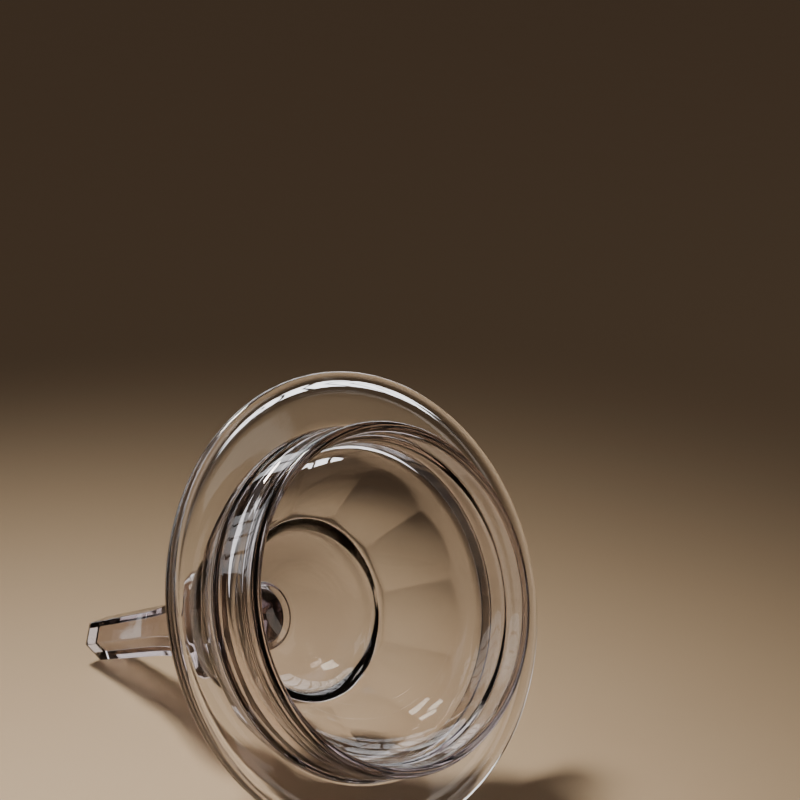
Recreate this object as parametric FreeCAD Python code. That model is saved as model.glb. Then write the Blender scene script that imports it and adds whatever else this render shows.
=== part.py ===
import FreeCAD
import Part
import math
import os

# Cover of a footed cut-glass jar, lying on the table on its brim and on the end of its finial.
# Three pieces of glass: the cover itself, the merese (a thin wafer of glass) and the solid finial.
#
# Each piece is drawn upright in its own frame: Z runs along the axis of the cover from the opening
# to the end of the finial, and Z = 0 is the middle of the rounded edge of the brim. Lying down, the
# axis leans by the angle at which the brim and the end of the finial both touch the table. Millimetres.

Vec = FreeCAD.Vector

# Where the middle of the brim stands along X, so that the whole cover is centred on X = 0.
BRIM_X = 46.91

# Brim: a flat plate with a rounded bead round its edge.
BRIM_R = 65.0
BEAD_R = 1.8
BEAD_TOP_ANGLE = 100
BEAD_EDGE_ANGLE = -25
BEAD_LOW_ANGLE = 210
SEAT_Z = 0.6
SEAT_R_OUT = 60.6
BRIM_ROOT = (50.0, 3.8)
BRIM_ROOT_HOLLOW = (48.1, 4.5)

# Collar: the short tube that drops into the mouth of the jar.
COLLAR_R_OUT = 48.8
COLLAR_R_IN = 45.6
COLLAR_END_Z = -16.2
COLLAR_FILLET = 1.4
COLLAR_IN_ROOT = (45.2, -9.6)

# Flank: the sloping wall that carries the cut panels.
FLANK_FOOT = (47.4, 6.2)
FLANK_BULGE = (42.9, 16.5)
FLANK_TOP = (31.0, 25.5)
FLANK_IN_FOOT = (44.3, -8.8)
FLANK_IN_BULGE = (38.6, 11.0)
FLANK_IN_TOP = (24.4, 22.8)

# Panels: flat cuts round the flank, each one rising from its arched foot to the step.
PANELS = 12
PANEL_TURN = 6.0
PANEL_FOOT = (46.4, 10.6)
PANEL_TOP = (27.9, 25.5)
PANEL_REACH_R = 50.0
PANEL_REACH_Z = 25.9
PANEL_WIDTH = 34.0

# Crown: the small closed dome above the step, round like a ball inside.
DRUM_R_OUT = 27.0
DRUM_TOP_Z = 29.5
DRUM_R_IN = 23.2
DRUM_IN_Z = 25.6
CROWN_BULGE = (21.8, 43.2)
CROWN_IN_TOP_Z = 45.5
PAD_R = 10.6
PAD_Z = 49.5

# Merese: a thin round wafer with a rounded edge.
MERESE_R = 11.5
MERESE_H = 2.0

# Finial: solid, six-sided, a wide knop that sweeps in to a long spire with a flat end.
SIDES = 6
SLAB_WIDTH = 60.0
FINIAL_FOOT_Z = PAD_Z + MERESE_H
# How far each of the six sides is from the axis, up the knop and into the spire: (distance, height).
FLATS = [
    (9.9, FINIAL_FOOT_Z),
    (11.9, 55.5),
    (13.2, 60.0),
    (13.5, 66.5),
    (12.6, 73.5),
    (10.4, 81.0),
    (8.4, 89.0),
    (7.4, 97.0),
    (7.05, 106.0),
]
SPIRE_END = (6.3, 136.0)
SPIRE_BEVEL = 0.5
# The round blank that the sides are cut from: (radius, height). It shows at the foot of the knop and
# at its corners.
BLANK = [
    (9.1, FINIAL_FOOT_Z),
    (12.4, 56.0),
    (14.4, 65.5),
    (13.4, 74.5),
    (11.4, 82.0),
    (10.0, 91.0),
    (9.3, 102.0),
]
BLANK_END = (8.0, SPIRE_END[1] + SPIRE_BEVEL)


def line(start, end):
    return Part.LineSegment(Vec(start[0], 0, start[1]), Vec(end[0], 0, end[1])).toShape()


def arc(start, middle, end):
    points = [Vec(r, 0, z) for r, z in (start, middle, end)]
    return Part.Arc(*points).toShape()


def smooth(stations, heading):
    """A smooth curve through the stations that leaves the last one straight towards the heading."""
    points = [Vec(r, 0, z) for r, z in stations]
    leaving = Vec(heading[0], 0, heading[1]) - points[-1]
    curve = Part.BSplineCurve()
    curve.interpolate(Points=points, InitialTangent=points[1] - points[0], FinalTangent=leaving)
    return curve.toShape()


def revolve(edges):
    face = Part.Face(Part.Wire(edges))
    return face.revolve(Vec(0, 0, 0), Vec(0, 0, 1), 360).Solids[0]


def on_circle(centre, radius, degrees):
    angle = math.radians(degrees)
    return (centre[0] + radius * math.cos(angle), centre[1] + radius * math.sin(angle))


def round_blank():
    """The cover before cutting: brim, collar, flank and crown in one revolved profile."""
    bead = (BRIM_R - BEAD_R, 0.0)
    bead_top = on_circle(bead, BEAD_R, BEAD_TOP_ANGLE)
    bead_low = on_circle(bead, BEAD_R, BEAD_LOW_ANGLE)
    lip_r = (COLLAR_R_OUT - COLLAR_R_IN) / 2
    lip = ((COLLAR_R_OUT + COLLAR_R_IN) / 2, COLLAR_END_Z + lip_r)
    fillet = (COLLAR_R_OUT + COLLAR_FILLET, SEAT_Z - COLLAR_FILLET)
    cap_rise = CROWN_IN_TOP_Z - DRUM_TOP_Z
    cap_r = (DRUM_R_IN ** 2 + cap_rise ** 2) / (2 * cap_rise)
    cap = (0.0, CROWN_IN_TOP_Z - cap_r)
    outline = [
        line((0, PAD_Z), (PAD_R, PAD_Z)),
        arc((PAD_R, PAD_Z), CROWN_BULGE, (DRUM_R_OUT, DRUM_TOP_Z)),
        line((DRUM_R_OUT, DRUM_TOP_Z), (DRUM_R_OUT, FLANK_TOP[1])),
        line((DRUM_R_OUT, FLANK_TOP[1]), FLANK_TOP),
        arc(FLANK_TOP, FLANK_BULGE, FLANK_FOOT),
        arc(FLANK_FOOT, BRIM_ROOT_HOLLOW, BRIM_ROOT),
        line(BRIM_ROOT, bead_top),
        arc(bead_top, on_circle(bead, BEAD_R, BEAD_EDGE_ANGLE), bead_low),
        line(bead_low, (SEAT_R_OUT, SEAT_Z)),
        line((SEAT_R_OUT, SEAT_Z), (fillet[0], SEAT_Z)),
        arc((fillet[0], SEAT_Z), on_circle(fillet, COLLAR_FILLET, 135), (COLLAR_R_OUT, fillet[1])),
        line((COLLAR_R_OUT, fillet[1]), (COLLAR_R_OUT, lip[1])),
        arc((COLLAR_R_OUT, lip[1]), on_circle(lip, lip_r, -90), (COLLAR_R_IN, lip[1])),
        line((COLLAR_R_IN, lip[1]), COLLAR_IN_ROOT),
        line(COLLAR_IN_ROOT, FLANK_IN_FOOT),
        arc(FLANK_IN_FOOT, FLANK_IN_BULGE, FLANK_IN_TOP),
        line(FLANK_IN_TOP, (DRUM_R_IN, DRUM_IN_Z)),
        line((DRUM_R_IN, DRUM_IN_Z), (DRUM_R_IN, DRUM_TOP_Z)),
        arc((DRUM_R_IN, DRUM_TOP_Z), on_circle(cap, cap_r, 60), (0, CROWN_IN_TOP_Z)),
        line((0, CROWN_IN_TOP_Z), (0, PAD_Z)),
    ]
    return revolve(outline)


def panel_cutter():
    """What one panel takes off: all the glass outside a sloping plane, between the step and the brim."""
    slope = (PANEL_TOP[1] - PANEL_FOOT[1]) / (PANEL_TOP[0] - PANEL_FOOT[0])
    upper_r = PANEL_TOP[0] + (PANEL_REACH_Z - PANEL_TOP[1]) / slope
    lower_z = PANEL_FOOT[1] + (PANEL_REACH_R - PANEL_FOOT[0]) * slope
    corners = [(upper_r, PANEL_REACH_Z), (PANEL_REACH_R, lower_z), (PANEL_REACH_R, PANEL_REACH_Z)]
    points = [Vec(r, -PANEL_WIDTH / 2, z) for r, z in corners]
    face = Part.Face(Part.makePolygon(points + points[:1]))
    return face.extrude(Vec(0, PANEL_WIDTH, 0))


def make_cover():
    cutters = []
    for number in range(PANELS):
        cutter = panel_cutter()
        # The turn is counted to the ridge between two panels, not to the middle of a panel.
        cutter.rotate(Vec(0, 0, 0), Vec(0, 0, 1), (number + 0.5) * 360 / PANELS + PANEL_TURN)
        cutters.append(cutter)
    return round_blank().cut(cutters).Solids[0]


def make_merese():
    edge_r = MERESE_H / 2
    shoulder = MERESE_R - edge_r
    top = PAD_Z + MERESE_H
    return revolve([
        line((0, PAD_Z), (shoulder, PAD_Z)),
        arc((shoulder, PAD_Z), (MERESE_R, PAD_Z + edge_r), (shoulder, top)),
        line((shoulder, top), (0, top)),
        line((0, top), (0, PAD_Z)),
    ])


def six_sided_bar():
    """Three slabs with the same curved outline, crossed at 60 degrees, leave a six-sided bar."""
    end = (SPIRE_END[0] - SPIRE_BEVEL, SPIRE_END[1] + SPIRE_BEVEL)
    half = [
        line((0, FINIAL_FOOT_Z), FLATS[0]),
        smooth(FLATS, SPIRE_END),
        line(FLATS[-1], SPIRE_END),
        line(SPIRE_END, end),
        line(end, (0, end[1])),
    ]
    other_half = [edge.mirror(Vec(0, 0, 0), Vec(1, 0, 0)) for edge in half]
    face = Part.Face(Part.Wire(Part.__sortEdges__(half + other_half)))
    face.translate(Vec(0, -SLAB_WIDTH / 2, 0))
    slab = face.extrude(Vec(0, SLAB_WIDTH, 0))
    bar = slab.copy()
    for turn in range(1, SIDES // 2):
        crossing = slab.copy()
        crossing.rotate(Vec(0, 0, 0), Vec(0, 0, 1), turn * 360 / SIDES)
        bar = bar.common(crossing)
    return bar


def finial_blank():
    return revolve([
        line((0, FINIAL_FOOT_Z), BLANK[0]),
        smooth(BLANK, BLANK_END),
        line(BLANK[-1], BLANK_END),
        line(BLANK_END, (0, BLANK_END[1])),
        line((0, BLANK_END[1]), (0, FINIAL_FOOT_Z)),
    ])


def make_finial():
    return six_sided_bar().common(finial_blank()).Solids[0]


def lying_placement():
    """From upright to resting on the bead of the brim and on one flat of the finial's end."""
    rise = BRIM_R - BEAD_R - SPIRE_END[0]
    run = SPIRE_END[1]
    lean = math.atan2(rise, run) + math.asin(BEAD_R / math.hypot(rise, run))
    brim_z = (BRIM_R - BEAD_R) * math.cos(lean) + BEAD_R
    turn = FreeCAD.Rotation(Vec(0, 1, 0), -90 - math.degrees(lean))
    return FreeCAD.Placement(Vec(BRIM_X, 0, brim_z), turn)


def main():
    os.makedirs("parts", exist_ok=True)
    pieces = {"cover": make_cover(), "merese": make_merese(), "finial": make_finial()}
    placement = lying_placement()
    for name, shape in pieces.items():
        shape.Placement = placement.multiply(shape.Placement)
        shape.exportStep(f"parts/{name}.step")


main()
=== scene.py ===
import math

import bmesh
import bpy
import numpy as np
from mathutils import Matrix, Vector


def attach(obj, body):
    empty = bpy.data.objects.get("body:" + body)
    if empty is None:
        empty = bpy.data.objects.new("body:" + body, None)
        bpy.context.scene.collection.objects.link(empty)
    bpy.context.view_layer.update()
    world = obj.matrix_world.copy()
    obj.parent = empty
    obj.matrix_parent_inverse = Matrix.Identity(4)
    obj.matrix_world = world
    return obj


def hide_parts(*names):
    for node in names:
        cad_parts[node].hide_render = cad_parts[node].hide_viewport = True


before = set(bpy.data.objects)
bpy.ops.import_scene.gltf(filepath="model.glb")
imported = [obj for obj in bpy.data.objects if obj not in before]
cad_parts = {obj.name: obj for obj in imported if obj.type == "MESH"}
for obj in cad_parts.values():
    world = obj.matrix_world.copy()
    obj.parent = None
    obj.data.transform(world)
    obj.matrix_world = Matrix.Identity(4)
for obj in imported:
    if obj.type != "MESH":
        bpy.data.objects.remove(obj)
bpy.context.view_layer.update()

MM = 0.001

# ---------------------------------------------------------------------------------------------
# Shapes, in millimetres, upright: z runs from the opening of the cover to the end of its finial,
# and z = 0 is the middle of the rounded edge of the brim. The same sizes as the CAD part.
# ---------------------------------------------------------------------------------------------
BRIM_R, BEAD_R = 65.0, 1.8
BEAD_TOP_ANGLE, BEAD_EDGE_ANGLE, BEAD_LOW_ANGLE = 100, -25, 210
SEAT_Z, SEAT_R_OUT = 0.6, 60.6
BRIM_ROOT, BRIM_ROOT_HOLLOW = (50.0, 3.8), (48.1, 4.5)
COLLAR_R_OUT, COLLAR_R_IN, COLLAR_END_Z, COLLAR_IN_ROOT = 48.8, 45.6, -16.2, (45.2, -9.6)
COLLAR_FILLET = 1.4
FLANK_FOOT, FLANK_BULGE, FLANK_TOP = (47.4, 6.2), (42.9, 16.5), (31.0, 25.5)
FLANK_IN_FOOT, FLANK_IN_BULGE, FLANK_IN_TOP = (44.3, -8.8), (38.6, 11.0), (24.4, 22.8)
PANELS, PANEL_TURN = 12, 6.0
PANEL_FOOT, PANEL_TOP = (46.4, 10.6), (27.9, 25.5)
DRUM_R_OUT, DRUM_R_IN, DRUM_TOP_Z, DRUM_IN_Z = 27.0, 23.2, 29.5, 25.6
CROWN_BULGE, CROWN_IN_TOP_Z = (21.8, 43.2), 45.5
PAD_R, PAD_Z = 10.6, 49.5
MERESE_R, MERESE_H = 11.5, 2.0
FINIAL_FOOT_Z = PAD_Z + MERESE_H
SIDES = 6
FLATS = [(9.9, 51.5), (11.9, 55.5), (13.2, 60.0), (13.5, 66.5), (12.6, 73.5), (10.4, 81.0),
         (8.4, 89.0), (7.4, 97.0), (7.05, 106.0), (6.3, 136.0)]
BLANK = [(9.1, 51.5), (12.4, 56.0), (14.4, 65.5), (13.4, 74.5), (11.4, 82.0), (10.0, 91.0),
         (9.3, 102.0), (8.0, 136.5)]
SPIRE_BEVEL = 0.5
FUSE = 0.15  # the pieces were fused hot: each one reaches this far into the next
CROWN_JOIN_R, FINIAL_JOIN_R = PAD_R - 0.3, 8.4  # how wide the merese is where it enters the next piece
RIDGE_SOFTNESS = 0.12  # how gently a side of the finial runs out into the round blank
RIDGE_CROWDING = 1.25  # how much closer the mesh gets towards a ridge
PANEL_STEPS, SIDE_STEPS = 36, 32  # mesh steps across one panel, and across one side of the finial
KNOP_TOP_Z = 96.0  # where the finial's mesh gets coarser, on the straight spire

LEAN_RISE = BRIM_R - BEAD_R - FLATS[-1][0]
LEAN_RUN = FLATS[-1][1]
LEAN = math.atan2(LEAN_RISE, LEAN_RUN) + math.asin(BEAD_R / math.hypot(LEAN_RISE, LEAN_RUN))
AXIS = np.array([math.cos(LEAN), 0.0, math.sin(LEAN)])  # out of the opening
UP = np.array([-math.sin(LEAN), 0.0, math.cos(LEAN)])
ACROSS = np.array([0.0, 1.0, 0.0])
BRIM_X = 46.91
CENTRE = np.array([BRIM_X, 0.0, (BRIM_R - BEAD_R) * math.cos(LEAN) + BEAD_R])


def lying(points):
    """Upright millimetres to metres in the row frame."""
    p = np.asarray(points, float).reshape(-1, 3)
    return (CENTRE + p[:, :1] * UP + p[:, 1:2] * ACROSS - p[:, 2:3] * AXIS) * MM


# ---------------------------------------------------------------------------------------------
# Outlines
# ---------------------------------------------------------------------------------------------
def straight(start, end, count):
    t = np.linspace(0, 1, count + 1)[:, None]
    return np.array(start) * (1 - t) + np.array(end) * t


def arc(start, middle, end, count):
    """Points along the circle through three points."""
    (x1, y1), (x2, y2), (x3, y3) = start, middle, end
    m = np.array([[x2 - x1, y2 - y1], [x3 - x1, y3 - y1]]) * 2
    rhs = np.array([x2 ** 2 - x1 ** 2 + y2 ** 2 - y1 ** 2, x3 ** 2 - x1 ** 2 + y3 ** 2 - y1 ** 2])
    centre = np.linalg.solve(m, rhs)
    angles = [math.atan2(p[1] - centre[1], p[0] - centre[0]) for p in (start, middle, end)]
    a0, a1, a2 = np.unwrap(angles)
    radius = math.hypot(x1 - centre[0], y1 - centre[1])
    a = np.linspace(a0, a2, count + 1)
    return np.stack([centre[0] + radius * np.cos(a), centre[1] + radius * np.sin(a)], 1)


def on_circle(centre, radius, degrees):
    angle = math.radians(degrees)
    return (centre[0] + radius * math.cos(angle), centre[1] + radius * math.sin(angle))


def join(*runs):
    """End-to-end runs of points, without repeating the points where they meet."""
    return np.concatenate([runs[0]] + [run[1:] for run in runs[1:]])


def smooth_curve(stations, heights):
    """Distances from the axis at the heights, on a smooth curve through the stations."""
    z = np.array([s[1] for s in stations])
    r = np.array([s[0] for s in stations])
    slope = np.gradient(r, z)
    slope[-2:] = (r[-1] - r[-2]) / (z[-1] - z[-2])
    i = np.clip(np.searchsorted(z, heights) - 1, 0, len(z) - 2)
    h = z[i + 1] - z[i]
    t = (heights - z[i]) / h
    return ((2 * t ** 3 - 3 * t ** 2 + 1) * r[i] + (t ** 3 - 2 * t ** 2 + t) * h * slope[i]
            + (3 * t ** 2 - 2 * t ** 3) * r[i + 1] + (t ** 3 - t ** 2) * h * slope[i + 1])


def facet_angles(sides, turn, per_side):
    """Angles round the axis, closer together near the ridge between one side and the next."""
    t = np.linspace(-1, 1, per_side, endpoint=False)
    within = np.sign(t) * (1 - (1 - np.abs(t)) ** RIDGE_CROWDING) * math.pi / sides
    centres = math.radians(turn) + np.arange(sides) * 2 * math.pi / sides
    return (centres[:, None] + within[None, :]).ravel(), np.tile(within, sides)


# ---------------------------------------------------------------------------------------------
# Meshes
# ---------------------------------------------------------------------------------------------
def relax(grid, rounds):
    """Softens the edges of a grid of points (outline, angle), as fire polishing does."""
    for _ in range(rounds):
        along = grid.copy()
        along[1:-1] = 0.25 * grid[:-2] + 0.5 * grid[1:-1] + 0.25 * grid[2:]
        grid = 0.25 * np.roll(along, 1, 1) + 0.5 * along + 0.25 * np.roll(along, -1, 1)
    return grid


def grid_mesh(name, grid):
    """A closed skin from a grid whose first and last rows each shrink to a point on the axis."""
    rows, columns, _ = grid.shape
    bm = bmesh.new()
    first = bm.verts.new(lying(grid[0, 0])[0])
    last = bm.verts.new(lying(grid[-1, 0])[0])
    inner = lying(grid[1:-1]).reshape(rows - 2, columns, 3)
    verts = [[bm.verts.new(p) for p in row] for row in inner]
    for j in range(columns):
        k = (j + 1) % columns
        bm.faces.new((first, verts[0][j], verts[0][k]))
        bm.faces.new((last, verts[-1][k], verts[-1][j]))
        for i in range(rows - 3):
            bm.faces.new((verts[i][j], verts[i + 1][j], verts[i + 1][k], verts[i][k]))
    bmesh.ops.recalc_face_normals(bm, faces=bm.faces)
    mesh = bpy.data.meshes.new(name)
    bm.to_mesh(mesh)
    bm.free()
    mesh.shade_smooth()
    piece = bpy.data.objects.new(name, mesh)
    bpy.context.collection.objects.link(piece)
    return piece


def spin(outline, angles):
    """Sweeps an outline of (radius, height) round the axis; radius may differ from angle to angle."""
    outline = np.asarray(outline)
    if outline.ndim == 2:
        outline = np.repeat(outline[:, None, :], len(angles), 1)
    r, z = outline[..., 0], outline[..., 1]
    return np.stack([r * np.cos(angles), r * np.sin(angles), z], -1)


def cover_outline(off_centre):
    """The outline of the cover at one angle, off_centre radians from the middle of a panel."""
    bead = (BRIM_R - BEAD_R, 0.0)
    lip_r = (COLLAR_R_OUT - COLLAR_R_IN) / 2
    lip = (COLLAR_R_IN + lip_r, COLLAR_END_Z + lip_r)
    fillet = (COLLAR_R_OUT + COLLAR_FILLET, SEAT_Z - COLLAR_FILLET)
    cap_rise = CROWN_IN_TOP_Z - DRUM_TOP_Z
    cap_r = (DRUM_R_IN ** 2 + cap_rise ** 2) / (2 * cap_rise)
    cap = (0.0, CROWN_IN_TOP_Z - cap_r)
    bead_low = on_circle(bead, BEAD_R, BEAD_LOW_ANGLE)
    bead_top = on_circle(bead, BEAD_R, BEAD_TOP_ANGLE)
    # The panel's plane at this angle, and where it leaves the uncut flank.
    spread = 1 / math.cos(off_centre)
    slope = (PANEL_TOP[1] - PANEL_FOOT[1]) / (PANEL_TOP[0] - PANEL_FOOT[0])
    flank = arc(FLANK_TOP, FLANK_BULGE, FLANK_FOOT, 400)
    outside = flank[:, 0] - (PANEL_TOP[0] + (flank[:, 1] - PANEL_TOP[1]) / slope) * spread
    cut = np.nonzero(outside > 0)[0]
    foot = flank[cut[-1]]
    ledge = (PANEL_TOP[0] * spread, PANEL_TOP[1])
    below = flank[cut[-1]:]
    below = below[np.linspace(0, len(below) - 1, 11).astype(int)]
    return join(
        arc((0, CROWN_IN_TOP_Z), on_circle(cap, cap_r, 60), (DRUM_R_IN, DRUM_TOP_Z), 26),
        straight((DRUM_R_IN, DRUM_TOP_Z), (DRUM_R_IN, DRUM_IN_Z), 4),
        straight((DRUM_R_IN, DRUM_IN_Z), FLANK_IN_TOP, 3),
        arc(FLANK_IN_TOP, FLANK_IN_BULGE, FLANK_IN_FOOT, 32),
        straight(FLANK_IN_FOOT, COLLAR_IN_ROOT, 2),
        straight(COLLAR_IN_ROOT, (COLLAR_R_IN, lip[1]), 5),
        arc((COLLAR_R_IN, lip[1]), on_circle(lip, lip_r, -90), (COLLAR_R_OUT, lip[1]), 10),
        straight((COLLAR_R_OUT, lip[1]), (COLLAR_R_OUT, fillet[1]), 8),
        arc((COLLAR_R_OUT, fillet[1]), on_circle(fillet, COLLAR_FILLET, 135), (fillet[0], SEAT_Z), 6),
        straight((fillet[0], SEAT_Z), (SEAT_R_OUT, SEAT_Z), 6),
        straight((SEAT_R_OUT, SEAT_Z), bead_low, 2),
        arc(bead_low, on_circle(bead, BEAD_R, BEAD_EDGE_ANGLE), bead_top, 22),
        straight(bead_top, BRIM_ROOT, 8),
        arc(BRIM_ROOT, BRIM_ROOT_HOLLOW, FLANK_FOOT, 6),
        below[::-1],
        straight(foot, ledge, 26),
        straight(ledge, (DRUM_R_OUT, PANEL_TOP[1]), 4),
        straight((DRUM_R_OUT, PANEL_TOP[1]), (DRUM_R_OUT, DRUM_TOP_Z), 5),
        arc((DRUM_R_OUT, DRUM_TOP_Z), CROWN_BULGE, (PAD_R, PAD_Z), 26),
        straight((PAD_R, PAD_Z), (0, PAD_Z), 5),
    )


def make_cover():
    first_centre = 180 / PANELS + PANEL_TURN
    angles, off_centre = facet_angles(PANELS, first_centre, PANEL_STEPS)
    outlines = {o: cover_outline(o) for o in sorted(set(off_centre))}
    grid = spin(np.stack([outlines[o] for o in off_centre], 1), angles)
    return grid_mesh("cover_glass", relax(grid, 1))


def make_merese():
    edge = MERESE_H / 2
    low, top = PAD_Z - FUSE, PAD_Z + MERESE_H + FUSE
    shoulder, upper_shoulder = (MERESE_R - edge, PAD_Z), (MERESE_R - edge, PAD_Z + MERESE_H)
    outline = join(
        straight((0, low), (CROWN_JOIN_R, low), 10),
        straight((CROWN_JOIN_R, low), shoulder, 3),
        arc(shoulder, (MERESE_R, PAD_Z + edge), upper_shoulder, 16),
        straight(upper_shoulder, (FINIAL_JOIN_R, top), 3),
        straight((FINIAL_JOIN_R, top), (0, top), 10),
    )
    angles = np.linspace(0, 2 * math.pi, 144, endpoint=False)
    return grid_mesh("merese_glass", relax(spin(outline, angles), 1))


def make_finial():
    angles, off_centre = facet_angles(SIDES, 0, SIDE_STEPS)
    end_z = FLATS[-1][1] + SPIRE_BEVEL
    knop = np.linspace(FINIAL_FOOT_Z, KNOP_TOP_Z, 110)
    spire = np.linspace(KNOP_TOP_Z, FLATS[-1][1], 60)
    heights = np.concatenate([knop, spire[1:]])
    flat = smooth_curve(FLATS, heights)[:, None] / np.cos(off_centre)[None, :]
    blank = np.repeat(smooth_curve(BLANK, heights)[:, None], len(angles), 1)
    gap = np.clip((blank - flat) / RIDGE_SOFTNESS, -30, 30)
    r = flat - RIDGE_SOFTNESS * (np.log1p(np.exp(-gap)))
    z = np.repeat(heights[:, None], len(angles), 1)
    end = r[-1] - SPIRE_BEVEL
    rows_r = [np.zeros_like(end), *(r[0] * s for s in (0.25, 0.5, 0.75, 0.97)), *r, end]
    rows_z = [np.full_like(end, FINIAL_FOOT_Z - FUSE / 2)] * 5 + [*z, np.full_like(end, end_z)]
    rows_r += [end * s for s in (0.8, 0.6, 0.4, 0.2, 0.0)]
    rows_z += [np.full_like(end, end_z)] * 5
    grid = spin(np.stack([np.array(rows_r), np.array(rows_z)], -1), angles)
    return grid_mesh("finial_glass", relax(grid, 1))


# ---------------------------------------------------------------------------------------------
# Materials
# ---------------------------------------------------------------------------------------------
def node(tree, kind, **values):
    made = tree.nodes.new(kind)
    for key, value in values.items():
        if key in made.inputs:
            made.inputs[key].default_value = value
        else:
            setattr(made, key, value)
    return made


GLASS_TINT = (0.99, 0.985, 0.98)
GLASS_IOR = 1.51
SCRATCH_DEPTH = 0.0000012
SMOKE_COLOUR = (0.41, 0.30, 0.31, 1)
FLOOR_COLOUR = (0.58, 0.43, 0.28, 1)


def glass(name, ripple, smoke_density):
    """Clear glass with slow ripples in its skin, fine scratches and faint smears."""
    material = bpy.data.materials.new(name)
    material.use_nodes = True
    tree = material.node_tree
    shader = tree.nodes["Principled BSDF"]
    shader.inputs["Base Color"].default_value = (*GLASS_TINT, 1)
    shader.inputs["Transmission Weight"].default_value = 1.0
    shader.inputs["IOR"].default_value = GLASS_IOR
    place = node(tree, "ShaderNodeTexCoord")
    waves = node(tree, "ShaderNodeTexNoise", Scale=95.0, Detail=1.0, Roughness=0.4)
    stretch = node(tree, "ShaderNodeMapping", Rotation=(0.4, 0.9, 0.3), Scale=(1.0, 14.0, 1.0))
    scratches = node(tree, "ShaderNodeTexNoise", Scale=260.0, Detail=3.0, Roughness=0.6)
    smears = node(tree, "ShaderNodeTexNoise", Scale=48.0, Detail=4.0, Roughness=0.55)
    links = tree.links
    # Hardly seen in the thin walls, and a smoky violet brown where the glass is thick.
    smoke = node(tree, "ShaderNodeVolumeAbsorption", Color=SMOKE_COLOUR, Density=smoke_density)
    links.new(smoke.outputs["Volume"], tree.nodes["Material Output"].inputs["Volume"])
    links.new(place.outputs["Object"], waves.inputs["Vector"])
    links.new(place.outputs["Object"], stretch.inputs["Vector"])
    links.new(stretch.outputs["Vector"], scratches.inputs["Vector"])
    links.new(place.outputs["Object"], smears.inputs["Vector"])
    smear_range = {"From Min": 0.45, "From Max": 0.8, "To Min": 0.0, "To Max": 0.05}
    rough = node(tree, "ShaderNodeMapRange", **smear_range)
    links.new(smears.outputs["Fac"], rough.inputs["Value"])
    links.new(rough.outputs["Result"], shader.inputs["Roughness"])
    slow = node(tree, "ShaderNodeBump", Strength=1.0, Distance=ripple)
    fine = node(tree, "ShaderNodeBump", Strength=1.0, Distance=SCRATCH_DEPTH)
    links.new(waves.outputs["Fac"], slow.inputs["Height"])
    links.new(scratches.outputs["Fac"], fine.inputs["Height"])
    links.new(slow.outputs["Normal"], fine.inputs["Normal"])
    links.new(fine.outputs["Normal"], shader.inputs["Normal"])
    return material


def floor_material():
    material = bpy.data.materials.new("pale_floor")
    material.use_nodes = True
    tree = material.node_tree
    shader = tree.nodes["Principled BSDF"]
    shader.inputs["Base Color"].default_value = FLOOR_COLOUR
    place = node(tree, "ShaderNodeTexCoord")
    grain = node(tree, "ShaderNodeTexNoise", Scale=30.0, Detail=5.0, Roughness=0.6)
    rough = node(tree, "ShaderNodeMapRange", **{"To Min": 0.5, "To Max": 0.7})
    tree.links.new(place.outputs["Object"], grain.inputs["Vector"])
    tree.links.new(grain.outputs["Fac"], rough.inputs["Value"])
    tree.links.new(rough.outputs["Result"], shader.inputs["Roughness"])
    return material


# ---------------------------------------------------------------------------------------------
# Studio
# ---------------------------------------------------------------------------------------------
FLOOR_HALF, FLOOR_Z = 4.0, -0.00005  # just under the brim, so that the two skins don't touch


def make_floor():
    mesh = bpy.data.meshes.new("floor")
    corners = [(x * FLOOR_HALF, y * FLOOR_HALF, FLOOR_Z) for x, y in ((-1, -1), (1, -1), (1, 1), (-1, 1))]
    mesh.from_pydata(corners, [], [(0, 1, 2, 3)])
    mesh.materials.append(floor_material())
    floor = bpy.data.objects.new("floor", mesh)
    bpy.context.collection.objects.link(floor)


def softbox(name, place, target, size, power, colour, spread=180.0):
    data = bpy.data.lights.new(name, "AREA")
    data.shape = "RECTANGLE"
    data.size, data.size_y = size
    data.energy = power
    data.color = colour
    data.spread = math.radians(spread)
    lamp = bpy.data.objects.new(name, data)
    lamp.location = place
    lamp.rotation_euler = (Vector(target) - Vector(place)).to_track_quat("-Z", "Y").to_euler()
    bpy.context.collection.objects.link(lamp)
    return lamp


def make_world():
    """A dim warm room round the pool of light. It draws the edges of the glass dark."""
    world = bpy.data.worlds.new("studio")
    bpy.context.scene.world = world
    world.use_nodes = True
    tree = world.node_tree
    place = node(tree, "ShaderNodeTexCoord")
    parts = node(tree, "ShaderNodeSeparateXYZ")
    ramp = node(tree, "ShaderNodeValToRGB")
    ramp.color_ramp.elements[0].position = 0.0
    ramp.color_ramp.elements[0].color = (0.032, 0.025, 0.020, 1)
    ramp.color_ramp.elements[1].position = 1.0
    ramp.color_ramp.elements[1].color = (0.10, 0.085, 0.075, 1)
    tree.links.new(place.outputs["Generated"], parts.inputs["Vector"])
    tree.links.new(parts.outputs["Z"], ramp.inputs["Fac"])
    tree.links.new(ramp.outputs["Color"], tree.nodes["Background"].inputs["Color"])
    tree.nodes["Background"].inputs["Strength"].default_value = 1.0


CAMERA_PLACE = (0.45838, -0.37664, 0.31428)
CAMERA_FORWARD = (-0.68447, 0.65006, -0.33002)
SENSOR_WIDTH, LENS = 36.0, 98.982


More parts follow.
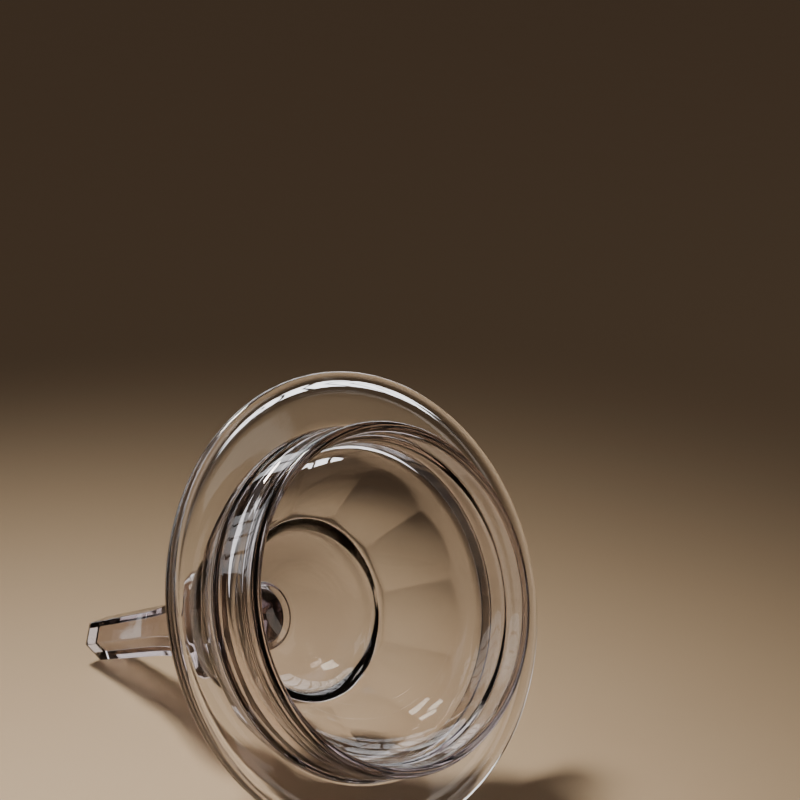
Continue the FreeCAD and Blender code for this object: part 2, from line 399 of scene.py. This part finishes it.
def make_camera():
    data = bpy.data.cameras.new("camera")
    data.sensor_width = SENSOR_WIDTH
    data.lens = LENS
    camera = bpy.data.objects.new("camera", data)
    camera.location = CAMERA_PLACE
    camera.rotation_euler = Vector(CAMERA_FORWARD).to_track_quat("-Z", "Y").to_euler()
    bpy.context.collection.objects.link(camera)
    bpy.context.scene.camera = camera


# Level directions in the studio: away from the camera, and to the camera's right.
BACK = np.array([-0.725, 0.689])
RIGHT = np.array([0.689, 0.725])
PANE_LOW, PANE_HIGH, PANE_WIDTH, PANE_PITCH = 0.03, 1.6, 0.215, 0.26


def make_lights(pieces):
    glass_only = bpy.data.collections.new("glass_only")
    for piece in pieces:
        glass_only.objects.link(piece)
    # Tall window panes with dark bars between them: a row behind the cover, and a row to its left.
    middle = (PANE_HIGH + PANE_LOW) / 2
    rows = (
        ("back", [BACK * 2.4 + RIGHT * (i - 4.1) * PANE_PITCH for i in range(8)], -BACK, 3.6),
        ("left", [BACK * (0.3 + i * PANE_PITCH) - RIGHT * 1.7 for i in range(6)], RIGHT, 2.2),
    )
    for row, places, facing, power in rows:
        for i, place in enumerate(places):
            pane = softbox(f"pane_{row}_{i}", (*place, middle), (*(place + facing), middle),
                           (PANE_WIDTH, PANE_HIGH - PANE_LOW), power, (0.94, 0.97, 1.0))
            pane.light_linking.receiver_collection = glass_only
    # The key light: a soft pool on the floor from behind and to the left.
    place = BACK * 0.50 - RIGHT * 0.30
    softbox("key", (*place, 1.05), (0.09, -0.13, 0.0), (0.3, 0.3), 0.92, (1.0, 0.93, 0.82), 34.0)
    place = RIGHT * 1.1 - BACK * 0.3
    softbox("side", (*place, 0.6), (0.0, 0.0, 0.05), (0.3, 0.8), 1.0, (1.0, 0.93, 0.84))


def main():
    pieces = (
        (make_cover(), "cover", glass("cover_glass", 0.00004, 46.0)),
        (make_merese(), "merese", glass("merese_glass", 0.00002, 58.0)),
        (make_finial(), "finial", glass("finial_glass", 0.00002, 58.0)),
    )
    for piece, cad_node, material in pieces:
        piece.data.materials.append(material)
        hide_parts(cad_node)
        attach(piece, "root")
    make_floor()
    make_world()
    make_lights([piece for piece, _, _ in pieces])
    make_camera()


main()
